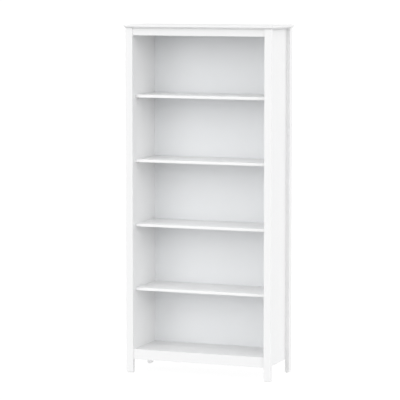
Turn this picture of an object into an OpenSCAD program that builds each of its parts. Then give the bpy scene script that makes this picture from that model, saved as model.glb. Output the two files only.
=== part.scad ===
// Tall bookcase on four legs: a framed case with five open bays and four adjustable shelves.
// X runs along the front, Y from the front to the back, Z up from the floor. Millimetres.

/* [Case] */
// Height from the floor to the top face
case_h = 1800; // [1720:10:2000]
// Width over the posts, without the top board's overhang
case_w = 792; // [600:1:1000]
// Depth over the posts, without the top board's overhang
case_d = 322; // [300:1:420]
// Clear height under the bottom rail
leg_h = 70; // [60:1:110]

/* [Frame] */
// Width of a post's wide face
post_wide = 38; // [34:1:50]
// Width of a post's narrow face
post_narrow = 20; // [20:1:24]
// Thickness of the side panels and the bottom shelf
panel_t = 18; // [18:1:22]
// Thickness of the rails
rail_t = 16; // [16:1:18]
// How far the front rails stand behind the posts' front faces
rail_setback = 8; // [6:1:8]
// Height of the front top rail
top_rail_h = 36; // [34:1:60]
// Height of the front bottom rail, whose upper edge is level with the bottom shelf
bottom_rail_h = 53; // [44:1:60]
// Height of the rail behind the back panel at the top
rear_top_rail_h = 80; // [70:1:100]
// Thickness of the back panel
back_t = 4; // [3:0.5:6]

/* [Top board] */
// Thickness of the top board
top_t = 18; // [16:1:28]
// Overhang at the front and at both ends
overhang = 7; // [6:0.5:9]
// Radius of the cove under the overhang
cove_r = 5; // [4:0.5:8]
// Height of the shadow gap between the cove and the frame
shadow_gap_h = 3; // [2:0.5:4]
// How far the shadow gap runs in behind the posts' faces
shadow_gap_in = 4; // [2:0.5:6]

/* [Shelves] */
// Thickness of an adjustable shelf
shelf_t = 14; // [12:1:20]
// Height of the lowest adjustable shelf's underside
first_shelf_z = 428; // [380:1:440]
// Distance from one adjustable shelf to the next
shelf_pitch = 333; // [300:1:340]
// How far the shelves stand behind the posts' front faces
shelf_setback = 36; // [30:1:50]
// Gap between a shelf's end and the side panel
shelf_gap = 1; // [1:0.5:2]

/* [Shelf pins] */
// Radius of the pin holes
pin_hole_r = 2.5; // [2.5:0.5:3]
// Distance between holes, which is one step of adjustment
hole_step = 32; // [25:1:32]
// Distance from the front pins to the rear pins
pin_row_gap = 192; // [160:32:192]

/* [Fittings] */
// Radius of a cam lock's bore
cam_bore_r = 7.5; // [7.5:0.5:7.5]
// Distance from a joint to its cam lock's centre
cam_inset = 24; // [24:1:34]
// Radius of the wooden dowels
dowel_r = 3; // [2.5:0.5:3]
// Height of the plastic glide under each post
glide_h = 4; // [3:0.5:6]

/* [Hidden] */
$fn = 48;
SHELVES = [1 : 4];
SIDES = [["left", -1], ["right", 1]];
ROWS = ["front", "rear"];
function pin_name(i, row, side) = str("pin_", i, "_", row, "_", side[0]);

// How far a cutting tool overruns the face that it starts from
over = 0.5;
// Room around a glued dowel, and around the back panel in its groove
dowel_play = 0.05;
groove_play = 0.2;

// Planes of the case
y_back = (case_d + overhang) / 2;
y_front = y_back - case_d;
x_out = case_w / 2;
x_in = x_out - post_wide;
top_z = case_h - top_t;
floor_z = leg_h + bottom_rail_h;
back_y = y_back - rail_t - back_t;
groove_depth = 5.5;
back_insert = 5;

// Front rails, and the shelves behind them
rail_y = y_front + rail_setback;
rail_mid_y = rail_y + rail_t / 2;
rear_rail_mid_y = y_back - rail_t / 2;
under_rail_mid_y = back_y - rail_t / 2;
under_rail_h = bottom_rail_h - panel_t;
shelf_y = y_front + shelf_setback;
shelf_back_gap = 1;
shelf_d = back_y - shelf_back_gap - shelf_y;
shelf_mid_z = floor_z - panel_t / 2;
bottom_shelf_y = rail_y + rail_t;

// Fittings. The dowel of a cam joint crosses the joint, and its lock sits cam_inset behind it
cam_depth = 13;
cam_r = cam_bore_r - 0.1;
cam_h = 12.5;
cam_slot_r = 3.5;
cam_dowel_bore_r = 3.4;
cam_dowel_r = 3;
cam_neck_r = 1.8;
cam_neck_l = 4;
cam_head_l = 3;
thread_r = 2.5;
thread_l = 11;
cross_l = 9;
cross_w = 1.4;
cross_depth = 2;
cover_r = 9;
cover_t = 1;
dowel_in_side = 12;
dowel_in_rail = 18;

// Where the fittings are, along Y or Z
board_cams_y = [y_front + 70, y_back - 66];
board_dowels_y = [y_front + 120, y_back - 116];
top_rail_cam_z = top_z - top_rail_h / 2;
top_rail_dowels_z = [top_rail_cam_z - 11, top_rail_cam_z + 11];
bottom_rail_cam_z = leg_h + 13;
bottom_rail_dowels_z = [bottom_rail_cam_z + 14, bottom_rail_cam_z + 25];
rear_top_rail_cam_z = top_z - rear_top_rail_h / 2;
rear_top_rail_dowels_z = [rear_top_rail_cam_z - 28, rear_top_rail_cam_z + 28];
under_rail_cam_z = leg_h + under_rail_h / 2;
frame_dowels_z = [for (k = [0 : 4]) floor_z + 90 + k * (top_z - floor_z - 180) / 4];
frame_dowel_in_post = 10;
frame_dowel_in_panel = 20;
wall_hole_r = 2.5;
wall_hole_x = 200;
wall_hole_z = top_z - 30;
back_screws_x = [-280, -140, 0, 140, 280];
screw_r = 1.4;
screw_l = 16;
screw_head_r = 3.5;
screw_head_h = 1.6;

// Shelf pins. A pin's flat top is pin_top above its axis, and the shelf is pin_lift above that
pin_play = 0.05;
pin_lift = 0.3;
pin_top = 2.6;
pin_hole_depth = 12;
stud_l = 9;
collar_r = 4;
collar_t = 1;
collar_gap = 0.2;
paddle_l = 9;
paddle_w = 10;
paddle_t = 2.2;
rib_l = 6;
pin_rows_y = [for (s = [-1, 1]) shelf_y + shelf_d / 2 + s * pin_row_gap / 2];

function shelf_z(i) = first_shelf_z + (i - 1) * shelf_pitch;
function pin_z(i) = shelf_z(i) - pin_lift - pin_top;
function row_y(row) = row == "front" ? pin_rows_y[0] : pin_rows_y[1];

white = [0.96, 0.96, 0.97];
zinc = [0.72, 0.73, 0.75];
beech = [0.80, 0.66, 0.46];
nylon = [0.86, 0.86, 0.86];

// Shapes are drawn for the right-hand side, and the left-hand side is their mirror image
module on_side(s) {
    mirror([s < 0 ? 1 : 0, 0, 0])
        children();
}

module on_both_sides() {
    for (s = [-1, 1])
        on_side(s)
            children();
}

// A box from one corner to the opposite one
module block(low, high) {
    translate(low)
        cube(high - low);
}

// Cylinders along X and Y, from the point at their low end
module rod_x(p, r, l) {
    translate(p)
        rotate([0, 90, 0])
            cylinder(r = r, h = l);
}

module rod_y(p, r, l) {
    translate(p)
        rotate([-90, 0, 0])
            cylinder(r = r, h = l);
}

module rod_z(p, r, l) {
    translate(p)
        cylinder(r = r, h = l);
}

// Places a cam joint, drawn with its dowel along +X and its lock opening downwards, on the
// plane where a board or rail meets the side. turn swings the opening: 90 to the back,
// -90 to the front.
module at_side_joint(y, z, turn = 0) {
    translate([x_in, y, z])
        rotate([turn, 0, 0])
            children();
}

// The same joint stood on end, under the top board, with its lock opening into the case
module at_top_joint(y) {
    translate([x_in + panel_t / 2, y, top_z])
        rotate([0, 0, 180])
            rotate([0, -90, 0])
                children();
}

// Every cam joint of one side. face is the distance from the dowel to the lock's open face.
module at_cam_joints() {
    for (y = board_cams_y) {
        at_side_joint(y, shelf_mid_z)
            cam_part($face = panel_t / 2)
                children();
        at_top_joint(y)
            cam_part($face = panel_t / 2)
                children();
    }
    at_side_joint(rail_mid_y, top_rail_cam_z, 90)
        cam_part($face = rail_t / 2)
            children();
    at_side_joint(rail_mid_y, bottom_rail_cam_z, 90)
        cam_part($face = rail_t / 2)
            children();
    at_side_joint(rear_rail_mid_y, rear_top_rail_cam_z, 90)
        cam_part($face = rail_t / 2)
            children();
    at_side_joint(under_rail_mid_y, under_rail_cam_z, -90)
        cam_part($face = rail_t / 2)
            children();
}

// Passes $face on to its children
module cam_part() {
    children();
}

// The holes of a cam joint: in the board that holds the lock, and in the part it is drawn to
module cam_holes() {
    rod_z([-cam_inset, 0, -$face - over], cam_bore_r, cam_depth + over);
    rod_x([-cam_inset, 0, 0], cam_dowel_bore_r, cam_inset + over);
}

module thread_hole() {
    rod_x([-over, 0, 0], thread_r, thread_l + over);
}

// All holes for cam joints, cut from each part that they pass through
module cam_cuts() {
    on_both_sides()
        at_cam_joints()
            cam_holes();
}

module thread_cuts() {
    on_both_sides()
        at_cam_joints()
            thread_hole();
}

// Dowels between the rails or the bottom shelf and the sides, and under the top board
module rail_dowel_set(play) {
    r = dowel_r + play;
    l = dowel_in_rail + dowel_in_side + 2 * play;
    x = x_in - dowel_in_rail - play;
    on_both_sides() {
        for (z = concat(top_rail_dowels_z, bottom_rail_dowels_z))
            rod_x([x, rail_mid_y, z], r, l);
        for (z = rear_top_rail_dowels_z)
            rod_x([x, rear_rail_mid_y, z], r, l);
        for (y = board_dowels_y) {
            rod_x([x, y, shelf_mid_z], r, l);
            rod_z([x_in + panel_t / 2, y, top_z - dowel_in_rail - play], r, l);
        }
    }
}

// Dowels that join each side panel to its front post and its rear post
module frame_dowel_set(play) {
    r = dowel_r + play;
    y_start = y_front + post_narrow - frame_dowel_in_post - play;
    rear_l = 2 * (frame_dowel_in_post + play);
    on_both_sides()
        for (z = frame_dowels_z) {
            rod_y([x_in + panel_t / 2, y_start, z], r, frame_dowel_in_post + frame_dowel_in_panel + 2 * play);
            rod_x([x_in + panel_t - rear_l / 2, y_back - post_wide / 2, z], r, rear_l);
        }
}

// Holes in the back panel and the rail behind it, for two screws into the wall
module wall_holes() {
    for (s = [-1, 1])
        rod_y([s * wall_hole_x, back_y - over, wall_hole_z], wall_hole_r, back_t + rail_t + 2 * over);
}

module screw_holes() {
    for (x = back_screws_x)
        rod_y([x, back_y - screw_l - over, shelf_mid_z], screw_r, screw_l + back_t + 2 * over);
}

// The groove that holds the back panel, as a slab one groove deep all round
module back_groove() {
    block([-x_in - groove_depth, back_y - groove_play, leg_h - over],
          [x_in + groove_depth, back_y + back_t + groove_play, top_z + groove_depth]);
}

// Top board: square above, then a cove, then a shadow gap where it stands on the frame
module top_board() {
    edge = x_out + overhang;
    front = y_front - overhang;
    cove_z = top_z + shadow_gap_h;
    color(white)
        difference() {
            block([-edge, front, top_z], [edge, y_back, case_h]);
            rod_x([-edge - over, front, cove_z], cove_r, 2 * (edge + over));
            block([-edge - over, front - over, top_z - over], [edge + over, y_front + shadow_gap_in, cove_z]);
            on_both_sides() {
                rod_y([edge, front - over, cove_z], cove_r, y_back - front + 2 * over);
                block([x_out - shadow_gap_in, front - over, top_z - over], [edge + over, y_back + over, cove_z]);
            }
            back_groove();
            thread_cuts();
            rail_dowel_set(dowel_play);
        }
}

// Front rails
module front_rail(low_z, high_z) {
    color(white)
        difference() {
            block([-x_in, rail_y, low_z], [x_in, rail_y + rail_t, high_z]);
            cam_cuts();
            rail_dowel_set(dowel_play);
        }
}

module top_rail() {
    front_rail(top_z - top_rail_h, top_z);
}

module bottom_rail() {
    front_rail(leg_h, floor_z);
}

// Rail behind the back panel, which takes the wall screws
module rear_top_rail() {
    color(white)
        difference() {
            block([-x_in, y_back - rail_t, top_z - rear_top_rail_h], [x_in, y_back, top_z]);
            cam_cuts();
            rail_dowel_set(dowel_play);
            wall_holes();
        }
}

// Rail under the back edge of the bottom shelf
module rear_bottom_rail() {
    color(white)
        difference() {
            block([-x_in, back_y - rail_t, leg_h], [x_in, back_y, leg_h + under_rail_h]);
            cam_cuts();
        }
}

// Fixed bottom shelf
module bottom_shelf() {
    color(white)
        difference() {
            block([-x_in, bottom_shelf_y, floor_z - panel_t], [x_in, back_y, floor_z]);
            cam_cuts();
            rail_dowel_set(dowel_play);
            screw_holes();
        }
}

// Thin back panel, captive in the grooves of the sides and the top board
module back_panel() {
    color(white)
        difference() {
            block([-x_in - back_insert, back_y, leg_h + 2],
                  [x_in + back_insert, back_y + back_t, top_z + back_insert]);
            wall_holes();
            screw_holes();
        }
}

// Side panel, with its pin holes in groups of three for each shelf
module side_panel(s) {
    color(white)
        difference() {
            on_side(s)
                difference() {
                    block([x_in, y_front + post_narrow, leg_h], [x_in + panel_t, y_back, top_z]);
                    for (i = SHELVES, k = [-1 : 1], y = pin_rows_y)
                        rod_x([x_in - over, y, pin_z(i) + k * hole_step], pin_hole_r, pin_hole_depth + over);
                }
            back_groove();
            cam_cuts();
            thread_cuts();
            rail_dowel_set(dowel_play);
            frame_dowel_set(dowel_play);
        }
}

// Posts, which run down past the panels as legs
module front_post(s) {
    color(white)
        difference() {
            on_side(s)
                block([x_in, y_front, glide_h], [x_out, y_front + post_narrow, top_z]);
            thread_cuts();
            rail_dowel_set(dowel_play);
            frame_dowel_set(dowel_play);
        }
}

module rear_post(s) {
    color(white)
        difference() {
            on_side(s)
                block([x_out - post_narrow, y_back - post_wide, glide_h], [x_out, y_back, top_z]);
            frame_dowel_set(dowel_play);
        }
}

// Glide with rounded corners under a post
module glide(s, row) {
    margin = 3;
    corner = 3;
    wide = post_wide - 2 * margin;
    narrow = post_narrow - 2 * margin;
    front = row == "front";
    size = front ? [wide, narrow] : [narrow, wide];
    x = front ? x_in + margin : x_out - post_narrow + margin;
    y = front ? y_front + margin : y_back - post_wide + margin;
    color(nylon)
        on_side(s)
            translate([x, y, 0]) {
                block([corner, 0, 0], [size[0] - corner, size[1], glide_h]);
                block([0, corner, 0], [size[0], size[1] - corner, glide_h]);
                for (cx = [corner, size[0] - corner], cy = [corner, size[1] - corner])
                    rod_z([cx, cy, 0], corner, glide_h);
            }
}

// Adjustable shelf
module shelf(i) {
    color(white)
        block([-x_in + shelf_gap, shelf_y, shelf_z(i)],
              [x_in - shelf_gap, shelf_y + shelf_d, shelf_z(i) + shelf_t]);
}

// Shelf pin: a stud in the hole, a collar against the panel and a flat paddle under the shelf
module shelf_pin(i, row, s) {
    inner = -collar_gap - collar_t;
    color(zinc)
        on_side(s)
            translate([x_in, row_y(row), pin_z(i)])
                difference() {
                    union() {
                        rod_x([inner - rib_l, 0, 0], pin_hole_r - pin_play, stud_l + rib_l - inner);
                        rod_x([inner, 0, 0], collar_r, collar_t);
                        block([inner - paddle_l + paddle_w / 2, -paddle_w / 2, pin_top - paddle_t],
                              [inner, paddle_w / 2, pin_top]);
                        rod_z([inner - paddle_l + paddle_w / 2, 0, pin_top - paddle_t], paddle_w / 2, paddle_t);
                    }
                    block([inner - 2 * paddle_l, -paddle_w, pin_top], [0, paddle_w, 2 * collar_r]);
                }
}

// Cam lock: a zinc drum with a channel for the dowel's head and a cross slot in its open face
module cam_lock() {
    difference() {
        rod_z([-cam_inset, 0, -$face], cam_r, cam_h);
        rod_x([-cam_inset - cam_head_l, 0, 0], cam_slot_r, cam_bore_r + cam_head_l + over);
        for (a = [0, 90])
            translate([-cam_inset, 0, -$face])
                rotate([0, 0, a])
                    block([-cross_l / 2, -cross_w / 2, -over], [cross_l / 2, cross_w / 2, cross_depth]);
    }
}

module cam_locks() {
    color(zinc)
        on_both_sides()
            at_cam_joints()
                cam_lock();
}

// Cam dowel: thread, shaft, narrow neck and the head that the lock draws in
module cam_dowel() {
    play = 0.1;
    shaft_l = cam_inset - cam_neck_l;
    rod_x([0, 0, 0], thread_r - play, thread_l - play);
    rod_x([-shaft_l, 0, 0], cam_dowel_r, shaft_l);
    rod_x([-cam_inset, 0, 0], cam_neck_r, cam_neck_l);
    rod_x([-cam_inset - cam_head_l / 2, 0, 0], cam_dowel_r, cam_head_l / 2);
}

module cam_dowels() {
    color(zinc)
        on_both_sides()
            at_cam_joints()
                cam_dowel();
}

// Plastic caps over the cam locks that face into the top bay
module cam_covers() {
    color(white)
        on_both_sides()
            for (y = board_cams_y)
                rod_x([x_in - cover_t, y, top_z - cam_inset], cover_r, cover_t);
}

module rail_dowels() {
    color(beech)
        rail_dowel_set(0);
}

module frame_dowels() {
    color(beech)
        frame_dowel_set(0);
}

// Screws that hold the back panel to the bottom shelf
module back_screws() {
    play = 0.1;
    color(zinc)
        for (x = back_screws_x) {
            rod_y([x, back_y - screw_l, shelf_mid_z], screw_r - play, screw_l + back_t);
            rod_y([x, back_y + back_t, shelf_mid_z], screw_head_r, screw_head_h);
        }
}

top_board();
top_rail();
bottom_rail();
rear_top_rail();
rear_bottom_rail();
bottom_shelf();
back_panel();
cam_locks();
cam_dowels();
cam_covers();
rail_dowels();
frame_dowels();
back_screws();
for (side = SIDES)
    side_panel(side[1]);
for (side = SIDES)
    front_post(side[1]);
for (side = SIDES)
    rear_post(side[1]);
for (row = ROWS, side = SIDES)
    glide(side[1], row);
for (i = SHELVES)
    shelf(i);
for (i = SHELVES, row = ROWS, side = SIDES)
    shelf_pin(i, row, side[1]);
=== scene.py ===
"""White framed bookcase with adjustable shelves: materials, small fittings, studio and camera."""
import math

import bmesh
import bpy
from mathutils import Euler, Matrix, Vector


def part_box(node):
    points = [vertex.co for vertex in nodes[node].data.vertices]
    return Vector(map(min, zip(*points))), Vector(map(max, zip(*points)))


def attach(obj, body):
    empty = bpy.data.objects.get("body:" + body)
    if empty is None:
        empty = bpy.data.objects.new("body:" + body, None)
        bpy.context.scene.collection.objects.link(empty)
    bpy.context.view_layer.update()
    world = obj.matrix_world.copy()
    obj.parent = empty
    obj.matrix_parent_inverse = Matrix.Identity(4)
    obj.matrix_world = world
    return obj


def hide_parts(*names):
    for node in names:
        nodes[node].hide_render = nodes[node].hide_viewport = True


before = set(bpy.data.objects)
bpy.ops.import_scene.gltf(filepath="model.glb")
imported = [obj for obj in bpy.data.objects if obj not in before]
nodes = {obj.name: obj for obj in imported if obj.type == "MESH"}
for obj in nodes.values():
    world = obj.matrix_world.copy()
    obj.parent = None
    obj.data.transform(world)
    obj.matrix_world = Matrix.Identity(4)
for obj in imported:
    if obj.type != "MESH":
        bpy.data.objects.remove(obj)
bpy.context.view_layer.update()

MM = 0.001
SIDES = ("left", "right")
ROWS = ("front", "rear")


# ---------------------------------------------------------------- camera and studio

EYE = Vector((4.053, -10.644, 2.072))
EYE_YAW = 21.069
EYE_PITCH = 5.882
LENS = 199.96
SENSOR_WIDTH = 36.0
NEAR_CLIP = 0.1
FAR_CLIP = 1000.0

FLOOR_SIZE = 400.0
FLOOR_GREY = 0.12
FLOOR_GLOW = 0.93
FLOOR_ROUGHNESS = 0.9

# Level of the light all round, and how much more comes from above the horizon
SKY = 0.45
SKY_ABOVE = 0.378
# Each soft box: degrees from the front towards +X, degrees up, strength
SOFT_BOXES = ((-25.0, 62.0, 1.573), (-25.0, 8.0, 1.901), (5.0, 8.0, 0.865), (65.0, 8.0, 3.135),
              (130.0, 20.0, 3.248), (-40.0, -25.0, 0.599))
# How quickly a soft box fades away from its middle
SOFT_BOX_EDGE = 20.0


def make_camera():
    data = bpy.data.cameras.new("camera")
    data.lens = LENS
    data.sensor_width = SENSOR_WIDTH
    data.clip_start = NEAR_CLIP
    data.clip_end = FAR_CLIP
    camera = bpy.data.objects.new("camera", data)
    camera.location = EYE
    camera.rotation_euler = Euler((math.radians(90 - EYE_PITCH), 0, math.radians(EYE_YAW)))
    bpy.context.scene.collection.objects.link(camera)
    bpy.context.scene.camera = camera


def math_node(tree, operation, a, b):
    """Output of a Math node on two numbers or outputs."""
    node = tree.nodes.new("ShaderNodeMath")
    node.operation = operation
    for socket, value in zip(node.inputs, (a, b)):
        if isinstance(value, float):
            socket.default_value = value
        else:
            tree.links.new(value, socket)
    return node.outputs[0]


def make_sky():
    """A soft studio: brightest above the front, with a broad panel at each of SOFT_BOXES.

    Where the camera sees it directly it is at least white, in every view, to give a plain backdrop.
    """
    world = bpy.data.worlds.new("studio")
    world.use_nodes = True
    tree = world.node_tree
    direction = tree.nodes.new("ShaderNodeTexCoord").outputs["Generated"]
    parts = tree.nodes.new("ShaderNodeSeparateXYZ")
    tree.links.new(direction, parts.inputs[0])
    slope = math_node(tree, "MULTIPLY", parts.outputs["Y"], parts.outputs["Z"])
    light = math_node(tree, "MULTIPLY", math_node(tree, "SUBTRACT", 1.0, slope), SKY)
    above = math_node(tree, "MULTIPLY", math_node(tree, "GREATER_THAN", parts.outputs["Z"], 0.0), SKY_ABOVE)
    light = math_node(tree, "ADD", light, above)
    for turn, rise, strength in SOFT_BOXES:
        across = math.cos(math.radians(rise))
        towards = tree.nodes.new("ShaderNodeVectorMath")
        towards.operation = "DOT_PRODUCT"
        towards.inputs[1].default_value = (
            math.sin(math.radians(turn)) * across,
            -math.cos(math.radians(turn)) * across,
            math.sin(math.radians(rise)),
        )
        tree.links.new(direction, towards.inputs[0])
        off = math_node(tree, "SUBTRACT", towards.outputs["Value"], 1.0)
        glow = math_node(tree, "POWER", math.e, math_node(tree, "MULTIPLY", off, SOFT_BOX_EDGE))
        light = math_node(tree, "ADD", light, math_node(tree, "MULTIPLY", glow, strength))
    seen = tree.nodes.new("ShaderNodeLightPath").outputs["Is Camera Ray"]
    tree.links.new(math_node(tree, "MAXIMUM", light, seen), tree.nodes["Background"].inputs["Strength"])
    tree.nodes["Background"].inputs["Color"].default_value = (1.0, 1.0, 1.0, 1.0)
    bpy.context.scene.world = world
    bpy.context.scene.view_settings.view_transform = "Standard"


def make_floor():
    """A glowing pale floor that neither blocks light nor shows in bounces or reflections."""
    mesh = bpy.data.meshes.new("floor")
    h = FLOOR_SIZE / 2
    mesh.from_pydata([(-h, -h, 0), (h, -h, 0), (h, h, 0), (-h, h, 0)], [], [(0, 1, 2, 3)])
    floor = bpy.data.objects.new("floor", mesh)
    bpy.context.scene.collection.objects.link(floor)
    material = bpy.data.materials.new("floor")
    material.use_nodes = True
    shader = material.node_tree.nodes["Principled BSDF"]
    shader.inputs["Base Color"].default_value = (FLOOR_GREY, FLOOR_GREY, FLOOR_GREY, 1)
    shader.inputs["Roughness"].default_value = FLOOR_ROUGHNESS
    shader.inputs["Specular IOR Level"].default_value = 0.0
    shader.inputs["Emission Color"].default_value = (1, 1, 1, 1)
    shader.inputs["Emission Strength"].default_value = FLOOR_GLOW
    material.cycles.emission_sampling = "NONE"
    mesh.materials.append(material)
    floor.visible_diffuse = False
    floor.visible_glossy = False
    floor.visible_shadow = False


# ---------------------------------------------------------------- materials

class Graph:
    """A material's node tree, with one short call for each kind of node."""

    def __init__(self, name):
        self.material = bpy.data.materials.new(name)
        self.material.use_nodes = True
        self.tree = self.material.node_tree
        self.shader = self.tree.nodes["Principled BSDF"]
        self.place = self.add("ShaderNodeTexCoord").outputs["Object"]

    def add(self, kind, **settings):
        node = self.tree.nodes.new(kind)
        for key, value in settings.items():
            setattr(node, key, value)
        return node

    def link(self, a, b):
        self.tree.links.new(a, b)

    def stretched(self, scale):
        node = self.add("ShaderNodeMapping")
        node.inputs["Scale"].default_value = scale
        self.link(self.place, node.inputs["Vector"])
        return node.outputs["Vector"]

    def noise(self, scale, detail=2.0, roughness=0.5, where=None):
        node = self.add("ShaderNodeTexNoise")
        node.inputs["Scale"].default_value = scale
        node.inputs["Detail"].default_value = detail
        node.inputs["Roughness"].default_value = roughness
        self.link(where or self.place, node.inputs["Vector"])
        return node.outputs["Fac"]

    def ranged(self, value, low, high, from_low=0.3, from_high=0.7):
        node = self.add("ShaderNodeMapRange")
        node.inputs["From Min"].default_value = from_low
        node.inputs["From Max"].default_value = from_high
        node.inputs["To Min"].default_value = low
        node.inputs["To Max"].default_value = high
        self.link(value, node.inputs["Value"])
        return node.outputs["Result"]

    def ramp(self, value, stops):
        node = self.add("ShaderNodeValToRGB")
        elements = node.color_ramp.elements
        while len(elements) < len(stops):
            elements.new(0.5)
        for element, (position, colour) in zip(elements, stops):
            element.position = position
            element.color = (*colour, 1)
        self.link(value, node.inputs["Fac"])
        return node.outputs["Color"]

    def blend(self, factor, a, b):
        node = self.add("ShaderNodeMix", data_type="RGBA")
        self.link(factor, node.inputs["Factor"])
        for socket, value in ((node.inputs[6], a), (node.inputs[7], b)):
            if isinstance(value, tuple):
                socket.default_value = (*value, 1)
            else:
                self.link(value, socket)
        return node.outputs[2]

    def bump(self, height, depth, below=None):
        node = self.add("ShaderNodeBump")
        node.inputs["Distance"].default_value = depth
        self.link(height, node.inputs["Height"])
        if below:
            self.link(below, node.inputs["Normal"])
        return node.outputs["Normal"]

    def finish(self, colour=None, roughness=None, normal=None, **constants):
        for name, output in (("Base Color", colour), ("Roughness", roughness), ("Normal", normal)):
            if output:
                self.link(output, self.shader.inputs[name])
        for name, value in constants.items():
            self.shader.inputs[name.replace("_", " ")].default_value = value
        return self.material


WHITE = (0.829, 0.830, 0.831)
WHITE_COOL = (0.823, 0.825, 0.829)
# The shelves are whiter than the frame only to make up for their tops, which come out too dark under
# this light. For one white throughout, set these two to WHITE and WHITE_COOL.
SHELF_WHITE = (0.866, 0.867, 0.868)
SHELF_WHITE_COOL = (0.860, 0.862, 0.866)
BACK_WHITE = (0.818, 0.830, 0.841)
BACK_WHITE_COOL = (0.812, 0.825, 0.838)
HARDBOARD = (0.30, 0.18, 0.09)
HARDBOARD_PALE = (0.42, 0.27, 0.15)
HARDBOARD_STAIN = (0.24, 0.145, 0.075)
NICKEL_DARK = (0.70, 0.68, 0.65)
NICKEL_PALE = (0.76, 0.74, 0.70)
ZINC_DARK = (0.60, 0.61, 0.63)
ZINC_PALE = (0.68, 0.69, 0.71)
CAST_DARK = (0.42, 0.43, 0.45)
CAST_PALE = (0.60, 0.61, 0.63)
BEECH_FLECK = (0.50, 0.33, 0.18)
BEECH_PALE = (0.72, 0.53, 0.33)
GLIDE_WHITE = (0.86, 0.86, 0.85)
GLIDE_DULL = (0.82, 0.82, 0.81)


def lacquer(name, grain_axis, white=WHITE, white_cool=WHITE_COOL):
    """Satin white lacquer: a fine sprayed texture over a grain that barely shows through."""
    g = Graph(name)
    stretch = [160.0, 160.0, 160.0]
    stretch[grain_axis] = 5.0
    grain = g.noise(1.0, 4.0, 0.6, g.stretched(stretch))
    spray = g.noise(1400.0, 1.0)
    flow = g.noise(260.0, 2.0)
    drift = g.noise(2.2, 2.0)
    colour = g.blend(g.ranged(drift, 0.0, 1.0), white, white_cool)
    roughness = g.ranged(g.noise(35.0, 3.0), 0.34, 0.44)
    normal = g.bump(spray, 0.04 * MM, g.bump(flow, 0.08 * MM, g.bump(grain, 0.14 * MM)))
    return g.finish(colour, roughness, normal, Specular_IOR_Level=0.45)


def painted_hardboard():
    """White on the face towards the shelves, raw pressed fibre on the face towards the wall."""
    g = Graph("painted_hardboard")
    facing = g.add("ShaderNodeSeparateXYZ")
    g.link(g.add("ShaderNodeTexCoord").outputs["Normal"], facing.inputs[0])
    raw = g.ranged(facing.outputs["Y"], 0.0, 1.0, 0.4, 0.6)
    fibre = g.noise(420.0, 6.0, 0.7)
    mesh_x = g.add("ShaderNodeTexWave", bands_direction="X")
    mesh_z = g.add("ShaderNodeTexWave", bands_direction="Z")
    for wave in (mesh_x, mesh_z):
        wave.inputs["Scale"].default_value = 110.0
        wave.inputs["Distortion"].default_value = 0.6
        g.link(g.place, wave.inputs["Vector"])
    weave = g.add("ShaderNodeMath", operation="MULTIPLY")
    g.link(mesh_x.outputs["Fac"], weave.inputs[0])
    g.link(mesh_z.outputs["Fac"], weave.inputs[1])
    brown = g.ramp(fibre, [(0.30, HARDBOARD), (0.72, HARDBOARD_PALE)])
    brown = g.blend(g.ranged(g.noise(7.0, 5.0, 0.65), 0.0, 0.55), brown, HARDBOARD_STAIN)
    white = g.blend(g.ranged(g.noise(2.5), 0.0, 1.0), BACK_WHITE, BACK_WHITE_COOL)
    colour = g.blend(raw, white, brown)
    roughness = g.ranged(raw, 0.42, 0.85, 0.0, 1.0)
    relief = g.add("ShaderNodeMath", operation="MULTIPLY")
    g.link(weave.outputs[0], relief.inputs[0])
    g.link(raw, relief.inputs[1])
    normal = g.bump(relief.outputs[0], 0.25 * MM, g.bump(g.noise(700.0), 0.03 * MM))
    return g.finish(colour, roughness, normal, Specular_IOR_Level=0.4)


def plated(name, dark, light, rough):
    """Plated steel with fine streaks along X."""
    g = Graph(name)
    streaks = g.noise(1.0, 3.0, 0.6, g.stretched((240.0, 3600.0, 3600.0)))
    colour = g.ramp(streaks, [(0.3, dark), (0.7, light)])
    roughness = g.ranged(g.noise(1500.0), rough, rough + 0.14)
    normal = g.bump(streaks, 0.01 * MM)
    return g.finish(colour, roughness, normal, Metallic=1.0)


def cast_zinc():
    """Die-cast zinc with a grainy, slightly mottled skin."""
    g = Graph("cast_zinc")
    mottle = g.noise(500.0, 4.0, 0.6)
    colour = g.ramp(mottle, [(0.3, CAST_DARK), (0.7, CAST_PALE)])
    roughness = g.ranged(g.noise(900.0), 0.42, 0.58)
    return g.finish(colour, roughness, g.bump(mottle, 0.06 * MM), Metallic=1.0)


def moulded(name, colour_a, colour_b, rough):
    """Moulded plastic with a fine spark-eroded texture."""
    g = Graph(name)
    colour = g.blend(g.ranged(g.noise(60.0), 0.0, 1.0), colour_a, colour_b)
    roughness = g.ranged(g.noise(500.0), rough, rough + 0.1)
    return g.finish(colour, roughness, g.bump(g.noise(2600.0, 1.0), 0.03 * MM))


def beech():
    """Turned beech dowel: pink-brown wood with short dark flecks drawn out along X."""
    g = Graph("beech")
    flecks = g.noise(1.0, 4.0, 0.6, g.stretched((120.0, 900.0, 900.0)))
    colour = g.ramp(flecks, [(0.28, BEECH_FLECK), (0.62, BEECH_PALE)])
    return g.finish(colour, g.ranged(flecks, 0.65, 0.5), g.bump(flecks, 0.08 * MM))


# ---------------------------------------------------------------- CAD nodes

# Width of the eased edges on each kind of board
POST_EDGE = 1.0 * MM
TOP_EDGE = 1.0 * MM
SHELF_EDGE = 0.8 * MM
RAIL_EDGE = 0.6 * MM
GLIDE_EDGE = 0.6 * MM
PANEL_EDGE = 0.4 * MM
# Edges sharper than these, in degrees, are eased or kept sharp
EASE_ANGLE = 40
SHARP_ANGLE = 35
PIECE_SHARP_ANGLE = 40


def shade_smooth(node):
    for polygon in node.data.polygons:
        polygon.use_smooth = True


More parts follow.
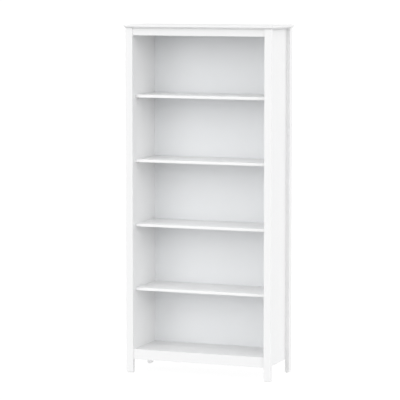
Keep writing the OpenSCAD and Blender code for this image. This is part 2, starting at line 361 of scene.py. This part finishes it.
def soften(node, width):
    """Eases a CAD node's edges."""
    bevel = node.modifiers.new("eased_edges", "BEVEL")
    bevel.width = width
    bevel.segments = 2
    bevel.limit_method = "ANGLE"
    bevel.angle_limit = math.radians(EASE_ANGLE)
    bevel.harden_normals = True
    bevel.use_clamp_overlap = True
    shade_smooth(node)


def sharpen(node):
    """Smooth round faces that meet at sharp edges."""
    split = node.modifiers.new("sharp_edges", "EDGE_SPLIT")
    split.split_angle = math.radians(SHARP_ANGLE)
    shade_smooth(node)


def dress(names, material, width):
    """Gives CAD nodes a material, and eased edges of a width or, at width 0, sharp ones."""
    for name in names:
        node = nodes[name]
        node.data.materials.clear()
        node.data.materials.append(material)
        if width:
            soften(node, width)
        else:
            sharpen(node)


def dress_all(zinc):
    upright = lacquer("lacquer_upright", 2)
    level = lacquer("lacquer_level", 0)
    shelf = lacquer("lacquer_shelf", 0, SHELF_WHITE, SHELF_WHITE_COOL)
    dress([f"{row}_post_{side}" for row in ROWS for side in SIDES], upright, POST_EDGE)
    dress([f"side_panel_{side}" for side in SIDES], upright, PANEL_EDGE)
    dress(["top_board"], level, TOP_EDGE)
    rails = ["top_rail", "bottom_rail", "bottom_shelf", "rear_top_rail", "rear_bottom_rail"]
    dress(rails, level, RAIL_EDGE)
    dress([f"shelf_{i}" for i in range(1, 5)], shelf, SHELF_EDGE)
    dress(["back_panel"], painted_hardboard(), 0)
    pins = [f"pin_{i}_{row}_{side}" for i in range(1, 5) for row in ROWS for side in SIDES]
    dress(pins, plated("nickel", NICKEL_DARK, NICKEL_PALE, 0.22), 0)
    dress(["cam_locks"], cast_zinc(), 0)
    dress(["cam_dowels"], zinc, 0)
    pale = moulded("glide_plastic", GLIDE_WHITE, GLIDE_DULL, 0.5)
    dress([f"glide_{row}_{side}" for row in ROWS for side in SIDES], pale, GLIDE_EDGE)
    dress(["rail_dowels", "frame_dowels"], beech(), 0)


# ---------------------------------------------------------------- small fittings

TURNED_SEGMENTS = 48
SCREW_COUNT = 5
SCREW_HEAD_H = 1.6 * MM
SCREW_SHANK_R = 1.3 * MM
# The tip's blunt end as a share of the shank's radius, and where the tip starts and narrows to it
SCREW_TIP_R_SHARE = 0.4
SCREW_TIP_FROM = 0.8
SCREW_TIP_TO = 0.93
SCREW_RIM_SHARE = 0.55
SCREW_CHAMFER_W = 0.25 * MM
SCREW_CHAMFER_H = 0.3 * MM
DOME_STEPS = 22
SCREW_TURN = 31
SCREW_TURN_STEP = 47
RECESS_DEPTH = 1.1 * MM
RECESS_TAPER = 0.45
RECESS_HALF_L = 1.9 * MM
RECESS_HALF_W = 0.42 * MM
RECESS_EDGE = 0.16 * MM
CAP_H = 1.0 * MM
CAP_RIM = 0.7 * MM
RIM_STEPS = 8
CAP_DISH = 0.25 * MM
DISH_STEPS = 10
NOTCH_R = 1.6 * MM
NOTCH_DEPTH = 0.55 * MM


def smooth_step(t):
    t = min(max(t, 0.0), 1.0)
    return t * t * (3 - 2 * t)


def turned(bm, profile, place, relief=None):
    """Turns (radius, height) points about Z, presses relief(x, y) into the face, and places it."""
    rings = []
    for radius, height in profile:
        if radius == 0:
            drop = relief(0.0, 0.0) if relief and height > 0 else 0.0
            rings.append([bm.verts.new(place @ Vector((0, 0, height - drop)))])
            continue
        ring = []
        for i in range(TURNED_SEGMENTS):
            turn = math.tau * i / TURNED_SEGMENTS
            x, y = radius * math.cos(turn), radius * math.sin(turn)
            drop = relief(x, y) if relief and height > 0 else 0.0
            ring.append(bm.verts.new(place @ Vector((x, y, height - drop))))
        rings.append(ring)
    for low, high in zip(rings, rings[1:]):
        for i in range(TURNED_SEGMENTS):
            j = (i + 1) % TURNED_SEGMENTS
            corners = [low[i % len(low)], low[j % len(low)], high[j % len(high)], high[i % len(high)]]
            bm.faces.new(list(dict.fromkeys(corners)))


def finish_piece(name, bm, material, node):
    """Turns a bmesh into a piece that rides on the case and stands for a CAD node."""
    bmesh.ops.recalc_face_normals(bm, faces=bm.faces)
    mesh = bpy.data.meshes.new(name)
    bm.to_mesh(mesh)
    bm.free()
    mesh.shade_smooth()
    mesh.set_sharp_from_angle(angle=math.radians(PIECE_SHARP_ANGLE))
    mesh.materials.append(material)
    piece = bpy.data.objects.new(name, mesh)
    bpy.context.scene.collection.objects.link(piece)
    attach(piece, "case")
    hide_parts(node)


def cross_recess(x, y):
    """Depth of a cross recess, which gets shallower towards the ends of its arms."""
    depth = 0.0
    for along, across in ((abs(x), abs(y)), (abs(y), abs(x))):
        wall = smooth_step((RECESS_HALF_W - across) / RECESS_EDGE + 0.5)
        end = smooth_step((RECESS_HALF_L - along) / (2 * RECESS_EDGE) + 0.5)
        depth = max(depth, RECESS_DEPTH * wall * end * (1 - RECESS_TAPER * along / RECESS_HALF_L))
    return depth


def pan_head_screw(head_r, length):
    """Profile of a screw, from the tip of its plain shank to the middle of its domed head."""
    points = [(0.0, -length), (SCREW_TIP_R_SHARE * SCREW_SHANK_R, -SCREW_TIP_TO * length)]
    points.append((SCREW_SHANK_R, -SCREW_TIP_FROM * length))
    points += [(SCREW_SHANK_R, 0.0), (head_r - SCREW_CHAMFER_W, 0.0), (head_r, SCREW_CHAMFER_H)]
    rim = SCREW_RIM_SHARE * SCREW_HEAD_H
    points.append((head_r, rim))
    for i in range(1, DOME_STEPS + 1):
        turn = 0.5 * math.pi * i / DOME_STEPS
        points.append((head_r * math.cos(turn), rim + (SCREW_HEAD_H - rim) * math.sin(turn)))
    points[-1] = (0.0, SCREW_HEAD_H)
    return points


def make_back_screws(material):
    low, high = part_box("back_screws")
    head_r = (high[2] - low[2]) / 2
    length = high[1] - low[1] - SCREW_HEAD_H
    bm = bmesh.new()
    for i in range(SCREW_COUNT):
        x = low[0] + head_r + (high[0] - low[0] - 2 * head_r) * i / (SCREW_COUNT - 1)
        at = Matrix.Translation((x, high[1] - SCREW_HEAD_H, (low[2] + high[2]) / 2))
        spin = Matrix.Rotation(math.radians(SCREW_TURN + SCREW_TURN_STEP * i), 4, "Z")
        face_back = Matrix.Rotation(math.radians(-90), 4, "X")
        turned(bm, pan_head_screw(head_r, length), at @ face_back @ spin, relief=cross_recess)
    finish_piece("back_panel_screws", bm, material, "back_screws")


def cap_profile(radius):
    """A cap's low dome, dished in the middle, with a rounded rim."""
    flat = radius - CAP_RIM
    points = [(0.0, 0.0), (radius, 0.0)]
    for i in range(RIM_STEPS + 1):
        turn = 0.5 * math.pi * i / RIM_STEPS
        points.append((flat + CAP_RIM * math.cos(turn), CAP_H - CAP_RIM + CAP_RIM * math.sin(turn)))
    for i in range(1, DISH_STEPS + 1):
        share = 1 - i / DISH_STEPS
        points.append((flat * share, CAP_H - CAP_DISH * (1 - share * share)))
    return points


def make_cam_caps(material):
    low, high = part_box("cam_covers")
    radius = (high[2] - low[2]) / 2

    def pry_notch(x, y):
        away = math.hypot(x + radius, y)
        return NOTCH_DEPTH * smooth_step((NOTCH_R - away) / NOTCH_R)

    bm = bmesh.new()
    for side in (-1, 1):
        for y in (low[1] + radius, high[1] - radius):
            at = Matrix.Translation((side * high[0], y, (low[2] + high[2]) / 2))
            inwards = Matrix.Rotation(math.radians(-90 * side), 4, "Y")
            turned(bm, cap_profile(radius), at @ inwards, relief=pry_notch)
    finish_piece("cam_lock_caps", bm, material, "cam_covers")


make_camera()
make_sky()
make_floor()
zinc_plate = plated("zinc", ZINC_DARK, ZINC_PALE, 0.3)
dress_all(zinc_plate)
make_back_screws(zinc_plate)
make_cam_caps(moulded("cap_plastic", WHITE, WHITE_COOL, 0.4))
